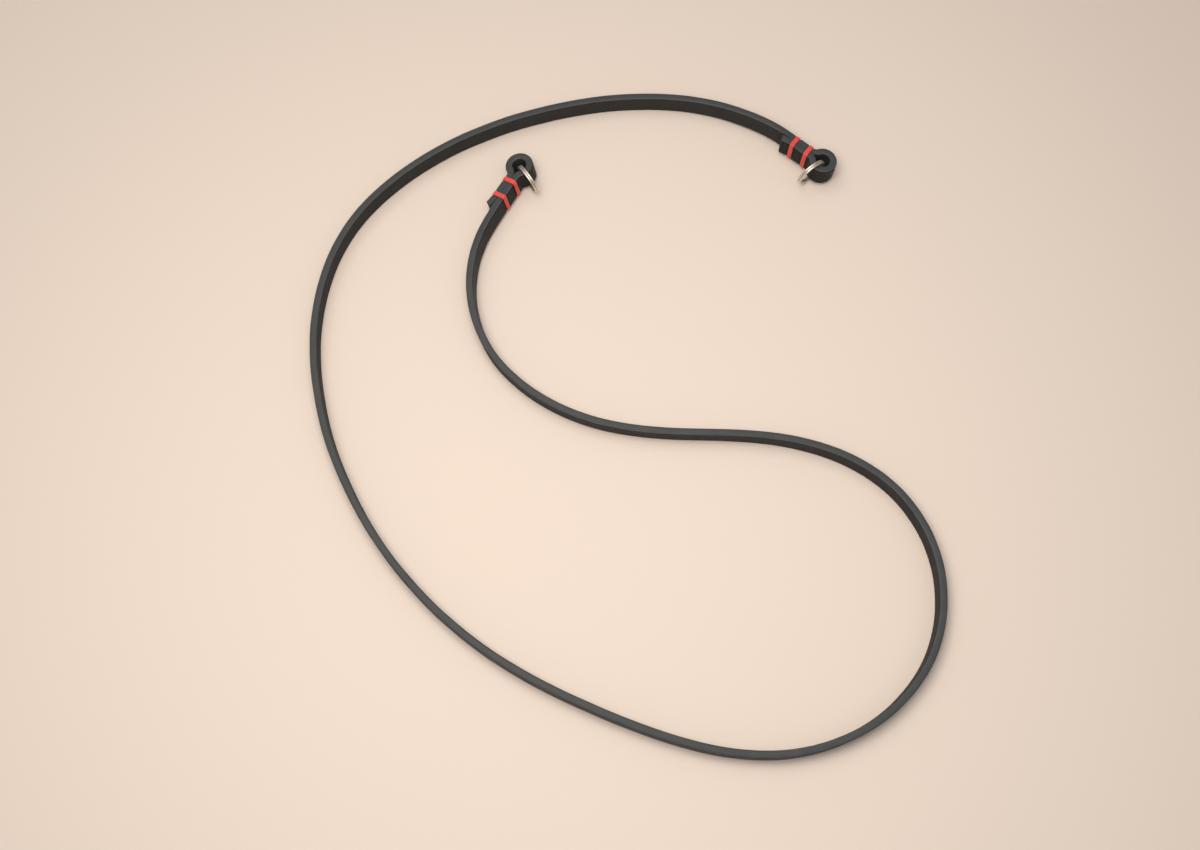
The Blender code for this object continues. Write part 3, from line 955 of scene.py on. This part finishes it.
# %% The strap's tree
strap_tree, given = new_tree("swept_strap", [
    ("Outline", "Object", None),
    ("Girth", "Float", GIRTH),
    ("Height", "Float", STRAP_HEIGHT),
    ("Side Squeeze", "Float", PINCH_SIDE),
    ("Edge Squeeze", "Float", PINCH_EDGE),
    ("Joint Closing", "Float", LAYER_GAP / 2 - JOINT_GAP),
    ("Wave Depth", "Float", 0.00015),
    ("Wave Length", "Float", 0.030),
    ("Wrinkle Depth", "Float", 0.00008),
    ("Wrinkle Length", "Float", 0.0011),
    ("Flesh From", "Float", FLESH_FROM),
    ("Flesh To", "Float", FLESH_TO),
    ("Grain From", "Float", GRAIN_FROM),
    ("Grain To", "Float", GRAIN_TO),
    ("Flesh Side", "Material", None),
    ("Grain Side", "Material", None),
    ("Edge Finish", "Material", None),
])
tree = strap_tree
rail = add(tree, "GeometryNodeMeshToCurve", {"Mesh": given["Geometry"]})
drawn = add(tree, "GeometryNodeObjectInfo", {"Object": given["Outline"]})
ring = add(tree, "GeometryNodeMeshToCurve", {"Mesh": drawn.outputs["Geometry"]})
skin = swept(tree, rail, ring)
bound, thickness = attribute(tree, "bound"), attribute(tree, "thickness")
squeeze, inset = attribute(tree, "squeeze"), attribute(tree, "inset")
travelled = attribute(tree, "travelled")
share, level = [
    add(
        tree, "ShaderNodeMix",
        {"Factor": bound, "A": attribute(tree, name), "B": attribute(tree, f"bound_{name}")},
        data_type="FLOAT",
    )
    for name in ("share", "level")
]

# Across: full width, and in a bound end out to the other layer, less what the thread squeezes
# off the grain side, and a slow wave
full = maths(tree, "MULTIPLY", share, thickness)
flesh = maths(tree, "MAXIMUM", share, 0.0)
inwards = maths(tree, "MULTIPLY", flesh, 2.0)
closing = maths(tree, "MULTIPLY", bound, given["Joint Closing"])
full = maths(tree, "MULTIPLY_ADD", inwards, closing, full)
outer = maths(tree, "SUBTRACT", 0.5, share)
pressed = maths(tree, "MULTIPLY", outer, squeeze)
across = maths(tree, "MULTIPLY_ADD", pressed, given["Side Squeeze"], full)
often = maths(tree, "DIVIDE", 1.0, given["Wave Length"])
drift = add(
    tree, "ShaderNodeTexNoise", {"W": travelled, "Scale": often, "Detail": 1.0},
    noise_dimensions="1D",
)
swing = add(tree, "ShaderNodeMapRange", {"Value": drift, "To Min": -1.0, "To Max": 1.0})
wave = maths(tree, "MULTIPLY", swing, given["Wave Depth"])
across = maths(tree, "MULTIPLY_ADD", wave, attribute(tree, "loose"), across)

# Wrinkles on the flesh side only, inside the eye
phase = maths(tree, "DIVIDE", travelled, given["Wrinkle Length"])
turns = maths(tree, "MULTIPLY", phase, 2 * math.pi)
ripple = maths(tree, "SINE", turns)
folded = maths(tree, "MULTIPLY", flesh, attribute(tree, "wrinkle"))
dent = maths(tree, "MULTIPLY", ripple, folded)
across = maths(tree, "MULTIPLY_ADD", dent, given["Wrinkle Depth"], across)

# The corners of a cut end are rounded by pulling its last sections in
thinner = maths(tree, "DIVIDE", inset, thickness)
narrow = maths(tree, "MULTIPLY_ADD", thinner, -2.0, 1.0)
across = maths(tree, "MULTIPLY", across, narrow)

# Up: full height, less the thread's squeeze and the rounding
nip = maths(tree, "MULTIPLY_ADD", squeeze, given["Edge Squeeze"], inset)
lost = maths(tree, "DIVIDE", nip, given["Height"])
short = maths(tree, "MULTIPLY_ADD", lost, -2.0, 1.0)
above = maths(tree, "MULTIPLY", level, short)

place = off_centre(
    tree, on_axis(tree, "side", across), on_axis(tree, "up", above), on_axis(tree, "skew", share)
)
shaped = moved(tree, skin, place)
end_u = maths(tree, "ADD", travelled, across)
end_map = combined(tree, {"X": end_u, "Y": above})
mapped = unroll(tree, shaped, given["Girth"], end_map)
finished = made_real(tree, mapped, given["Edge Finish"])
way_round = attribute(tree, "round")
for face in ("Flesh", "Grain"):
    past = compared(tree, way_round, "GREATER_THAN", given[f"{face} From"])
    before = compared(tree, way_round, "LESS_THAN", given[f"{face} To"])
    on_face = add(tree, "FunctionNodeBooleanMath", past, before, operation="AND")
    finished = add(
        tree, "GeometryNodeSetMaterial",
        {"Geometry": finished, "Selection": on_face, "Material": given[f"{face} Side"]},
    )
add(tree, "NodeGroupOutput", {"Geometry": finished})
print(f"the strap's tree has {len(tree.nodes)} nodes")

# %% Make the strap
STRAP_CREASE = 50
THREAD_CREASE = 60
WIRE_CREASE = 40
GUIDE_VALUES = (
    "centre", "side", "up", "skew", "thickness", "squeeze", "bound", "wrinkle", "inset", "loose",
    "travelled", "share", "level", "bound_share", "bound_level", "round", "spot",
)


def tidy_mesh(piece, crease_angle):
    """Drop the guide's values and shade smooth, but not over edges of more degrees than this."""
    mesh = piece.data
    for name in GUIDE_VALUES:
        if name in mesh.attributes:
            mesh.attributes.remove(mesh.attributes[name])
    mesh.shade_smooth()
    mesh.set_sharp_from_angle(angle=math.radians(crease_angle))


outline_line = guide_line("strap_outline", outline_rows, closed=True)
outline = bpy.data.objects.new("strap_outline", outline_line)
bpy.context.scene.collection.objects.link(outline)
strap = run_tree(
    "leather_strap", guide_line("strap_guide", stations), strap_tree,
    {
        "Outline": outline, "Flesh Side": flesh_side, "Grain Side": grain_side,
        "Edge Finish": edge_finish,
    },
)
bpy.data.objects.remove(outline)
tidy_mesh(strap, STRAP_CREASE)
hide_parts("strap")
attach(strap, "root")

# %% [markdown]
# ## The whippings
#
# Whoever made this strap bound each folded end by hand: three turns of thread side by side, pulled
# tight, with the ends tucked in between the two layers. Three plain rings would look nearly the
# same from above. A thread that climbs from one turn to the next, made of three twisted plies, is
# what a close look finds, and one tree winds it from a few sizes.

# %% The whipping's tree
THREAD_TURNS = 3
THREAD_PLIES = 3
THREAD_RADIUS = 0.00038
WELL_OUTSIDE = 1.5
wound_side = BOUND_THICKNESS + LAYER_GAP / 2 - PINCH_SIDE + THREAD_RADIUS
wound_edge = STRAP_HEIGHT / 2 - PINCH_EDGE + THREAD_RADIUS

whipping_tree, given = new_tree("wound_thread", [
    ("Turns", "Float", float(THREAD_TURNS)),
    ("Turn Spacing", "Float", 2 * THREAD_RADIUS),
    ("Half Width", "Float", wound_side),
    ("Half Height", "Float", wound_edge),
    ("Corner Radius", "Float", CORNER_RADIUS + THREAD_RADIUS),
    ("Thread Radius", "Float", THREAD_RADIUS),
    ("Ply Depth", "Float", 0.11),
    ("Twist Length", "Float", 0.0030),
    ("Tuck Depth", "Float", 0.0013),
    ("Tuck Share", "Float", 0.018),
    ("Path Points", "Int", 2400),
    ("Step", "Float", 0.00018),
    ("Thread", "Material", None),
])
tree = whipping_tree
line, wound = numbered_line(tree, given["Path Points"])

# Round and round: from the middle of the lower edge, a rounded rectangle's nearest point
turned = maths(tree, "MULTIPLY", wound, given["Turns"])
angle = maths(tree, "MULTIPLY_ADD", turned, 2 * math.pi, -math.pi / 2)
half_size = combined(tree, {"Y": given["Half Width"], "Z": given["Half Height"]})
way = direction(tree, angle, "Y")
outside = vector_maths(tree, "MULTIPLY", way, half_size)
outside = scaled(tree, outside, WELL_OUTSIDE)
corner_size = combined(tree, {"Y": given["Corner Radius"], "Z": given["Corner Radius"]})
inner_size = vector_maths(tree, "SUBTRACT", half_size, corner_size)
minus_inner = scaled(tree, inner_size, -1.0)
core = vector_maths(tree, "MINIMUM", outside, inner_size)
core = vector_maths(tree, "MAXIMUM", core, minus_inner)
off_core = vector_maths(tree, "SUBTRACT", outside, core)
facing = vector_maths(tree, "NORMALIZE", off_core)
corner = scaled(tree, facing, given["Corner Radius"])
around = vector_maths(tree, "ADD", core, corner)

# Along the strap by one thread for each turn, and up between the layers at both ends
middle = maths(tree, "SUBTRACT", wound, 0.5)
length = maths(tree, "MULTIPLY", given["Turns"], given["Turn Spacing"])
forward = maths(tree, "MULTIPLY", middle, length)
from_middle = maths(tree, "ABSOLUTE", middle)
from_end = maths(tree, "SUBTRACT", 0.5, from_middle)
tuck = add(
    tree, "ShaderNodeMapRange",
    {
        "Value": from_end, "From Max": given["Tuck Share"], "To Min": given["Tuck Depth"],
        "To Max": 0.0,
    },
    interpolation_type="SMOOTHSTEP",
)
extra = combined(tree, {"X": forward, "Z": tuck})
path_place = vector_maths(tree, "ADD", around, extra)
path = moved(tree, line, path_place)
path = add(tree, "GeometryNodeMeshToCurve", {"Mesh": path})
path = add(
    tree, "GeometryNodeResampleCurve", {"Curve": path, "Length": given["Step"]}, mode="LENGTH"
)
gone = add(tree, "GeometryNodeSplineParameter").outputs["Length"]
path = stored(tree, path, "travelled", gone)
twists = maths(tree, "DIVIDE", gone, given["Twist Length"])
twist = maths(tree, "MULTIPLY", twists, 2 * math.pi)
path = add(tree, "GeometryNodeSetCurveTilt", {"Curve": path, "Tilt": twist})

# The thread's section: a circle with three lobes, one for each ply
circle = add(tree, "GeometryNodeCurvePrimitiveCircle", {"Resolution": 12, "Radius": 1.0})
share_round = add(tree, "GeometryNodeSplineParameter").outputs["Factor"]
lobes = maths(tree, "MULTIPLY", share_round, 2 * math.pi * THREAD_PLIES)
lobe = maths(tree, "COSINE", lobes)
girth = maths(tree, "MULTIPLY", given["Thread Radius"], 2 * math.pi)
way_round = maths(tree, "MULTIPLY", share_round, girth)
# The lobe is also kept on each point. The thread's finish reads it to paint shade into the grooves
# between the plies.
circle = stored(tree, circle, "ply", lobe)
circle = stored(tree, circle, "round", way_round)
bulge = maths(tree, "MULTIPLY_ADD", lobe, given["Ply Depth"], 1.0)
reach = maths(tree, "MULTIPLY", bulge, given["Thread Radius"])
lobed = scaled(tree, add(tree, "GeometryNodeInputPosition"), reach)
circle = moved(tree, circle, lobed)
skin = swept(tree, path, circle)
mapped = unroll(tree, skin, girth)
add(tree, "NodeGroupOutput", {"Geometry": made_real(tree, mapped, given["Thread"])})


# %% Wind the four whippings
def axes_at(origin, x_axis, z_axis):
    """The matrix that stands a piece at origin, with its X and Z along two axes."""
    x_axis, z_axis = Vector(x_axis), Vector(z_axis)
    turn = Matrix((x_axis, z_axis.cross(x_axis), z_axis)).transposed()
    return Matrix.Translation(origin) @ turn.to_4x4()


for side, end in (("right", right_end), ("left", left_end)):
    for name, x in (("outer", 0.0), ("eye", end.spacing)):
        tilt = end.fold_tilt(x)
        middle = tilted(tilt, end.on_table(x, PAIR_Y), STRAP_HEIGHT / 2)
        upright = (*(math.sin(tilt.lean) * end.tailward), math.cos(tilt.lean))
        node = f"whipping_{side}_{name}"
        whipping = run_tree(
            f"thread_{side}_{name}", bpy.data.meshes.new("blank"), whipping_tree,
            {"Thread": waxed_linen}, axes_at(middle, (*end.outward, 0), upright),
        )
        tidy_mesh(whipping, THREAD_CREASE)
        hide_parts(node)
        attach(whipping, "root")

# %% [markdown]
# ## The split rings
#
# A split ring is one wire wound twice round, so that something can be threaded onto it, and it
# steps from the first turn to the second in one short stretch. That step is the part that makes
# it read as a split ring and not a plain hoop, so the tree makes it from the wound angle.

# %% The split ring's tree
CROSSING_ANGLE = math.radians(34)
CROSSING_PLACE = math.radians(-38)

ring_tree, given = new_tree("wound_split_ring", [
    ("Middle Radius", "Float", RING_INNER_RADIUS + WIRE_DEPTH / 2),
    ("Wire Depth", "Float", WIRE_DEPTH),
    ("Wire Width", "Float", WIRE_WIDTH),
    ("Turn Gap", "Float", TURN_GAP),
    ("Wire Corner", "Float", 0.0004),
    ("Crossing Angle", "Float", CROSSING_ANGLE),
    ("Crossing Place", "Float", CROSSING_PLACE),
    ("Path Points", "Int", 361),
    ("Metal", "Material", None),
])
tree = ring_tree
line, share = numbered_line(tree, given["Path Points"])
sweep_angle = maths(tree, "SUBTRACT", 4 * math.pi, given["Crossing Angle"])
half_crossing = maths(tree, "MULTIPLY", given["Crossing Angle"], 0.5)
wound = maths(tree, "MULTIPLY_ADD", share, sweep_angle, half_crossing)
pitch = maths(tree, "ADD", given["Wire Width"], given["Turn Gap"])
crossing_from = maths(tree, "SUBTRACT", 2 * math.pi, half_crossing)
crossing_to = maths(tree, "ADD", 2 * math.pi, half_crossing)
crossed = add(
    tree, "ShaderNodeMapRange",
    {
        "Value": wound, "From Min": crossing_from, "From Max": crossing_to, "To Min": -0.5,
        "To Max": 0.5,
    },
    interpolation_type="SMOOTHSTEP",
)
offset = maths(tree, "MULTIPLY", crossed, pitch)
angle = maths(tree, "ADD", wound, given["Crossing Place"])
outwards = direction(tree, angle, "X")
on_circle = scaled(tree, outwards, given["Middle Radius"])
beside = combined(tree, {"Y": offset})
centre = vector_maths(tree, "ADD", on_circle, beside)
gone = maths(tree, "MULTIPLY", wound, given["Middle Radius"])
line = stored(tree, line, "centre", centre, "FLOAT_VECTOR")
line = stored(tree, line, "side", outwards, "FLOAT_VECTOR")
line = stored(tree, line, "travelled", gone)
path = moved(tree, line, off_centre(tree))
path = add(tree, "GeometryNodeMeshToCurve", {"Mesh": path})

# The wire's section: a rectangle with rounded corners, deep along the ring's own radius
section = add(
    tree, "GeometryNodeCurvePrimitiveQuadrilateral",
    {"Width": given["Wire Depth"], "Height": given["Wire Width"]},
)
section = add(
    tree, "GeometryNodeFilletCurve",
    {"Curve": section, "Count": 3, "Radius": given["Wire Corner"], "Limit Radius": True},
    mode="POLY",
)
drawn_at = add(tree, "GeometryNodeInputPosition")
way_round = add(tree, "GeometryNodeSplineParameter").outputs["Length"]
section = stored(tree, section, "spot", drawn_at, "FLOAT_VECTOR")
section = stored(tree, section, "round", way_round)
skin = swept(tree, path, section)
spot = add(tree, "ShaderNodeSeparateXYZ", attribute(tree, "spot", "FLOAT_VECTOR"))
wide = combined(tree, {"Y": spot.outputs["Y"]})
place = off_centre(tree, on_axis(tree, "side", spot.outputs["X"]), wide)
wire = moved(tree, skin, place)
cap_map = combined(tree, {"X": spot.outputs["X"], "Y": spot.outputs["Y"]})
girth = maths(tree, "ADD", given["Wire Depth"], given["Wire Width"])
girth = maths(tree, "MULTIPLY", girth, 2.0)
mapped = unroll(tree, wire, girth, cap_map)
add(tree, "NodeGroupOutput", {"Geometry": made_real(tree, mapped, given["Metal"])})

# %% Hang the rings in the eyes
for side, end in (("right", right_end), ("left", left_end)):
    out = math.cos(end.ring_around) * end.outward + math.sin(end.ring_around) * end.tailward
    eye = tilted(end.fold_tilt(end.eye_x), end.on_table(end.eye_x, end.eye_y), STRAP_HEIGHT / 2)
    ring_centre = np.array(eye[:2]) + (EYE_HOLE_RADIUS + RING_INTO_WALL) * out
    lean = end.ring_lean
    rise = RING_OUTER_RADIUS * math.cos(lean) + RING_WIDTH / 2 * abs(math.sin(lean))
    upright = (*(math.sin(lean) * left_of(out)), math.cos(lean))
    split_ring = run_tree(
        f"steel_ring_{side}", bpy.data.meshes.new("blank"), ring_tree,
        {"Metal": nickel_plate}, axes_at((*ring_centre, rise), (*out, 0), upright),
    )
    tidy_mesh(split_ring, WIRE_CREASE)
    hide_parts(f"split_ring_{side}")
    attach(split_ring, "root")
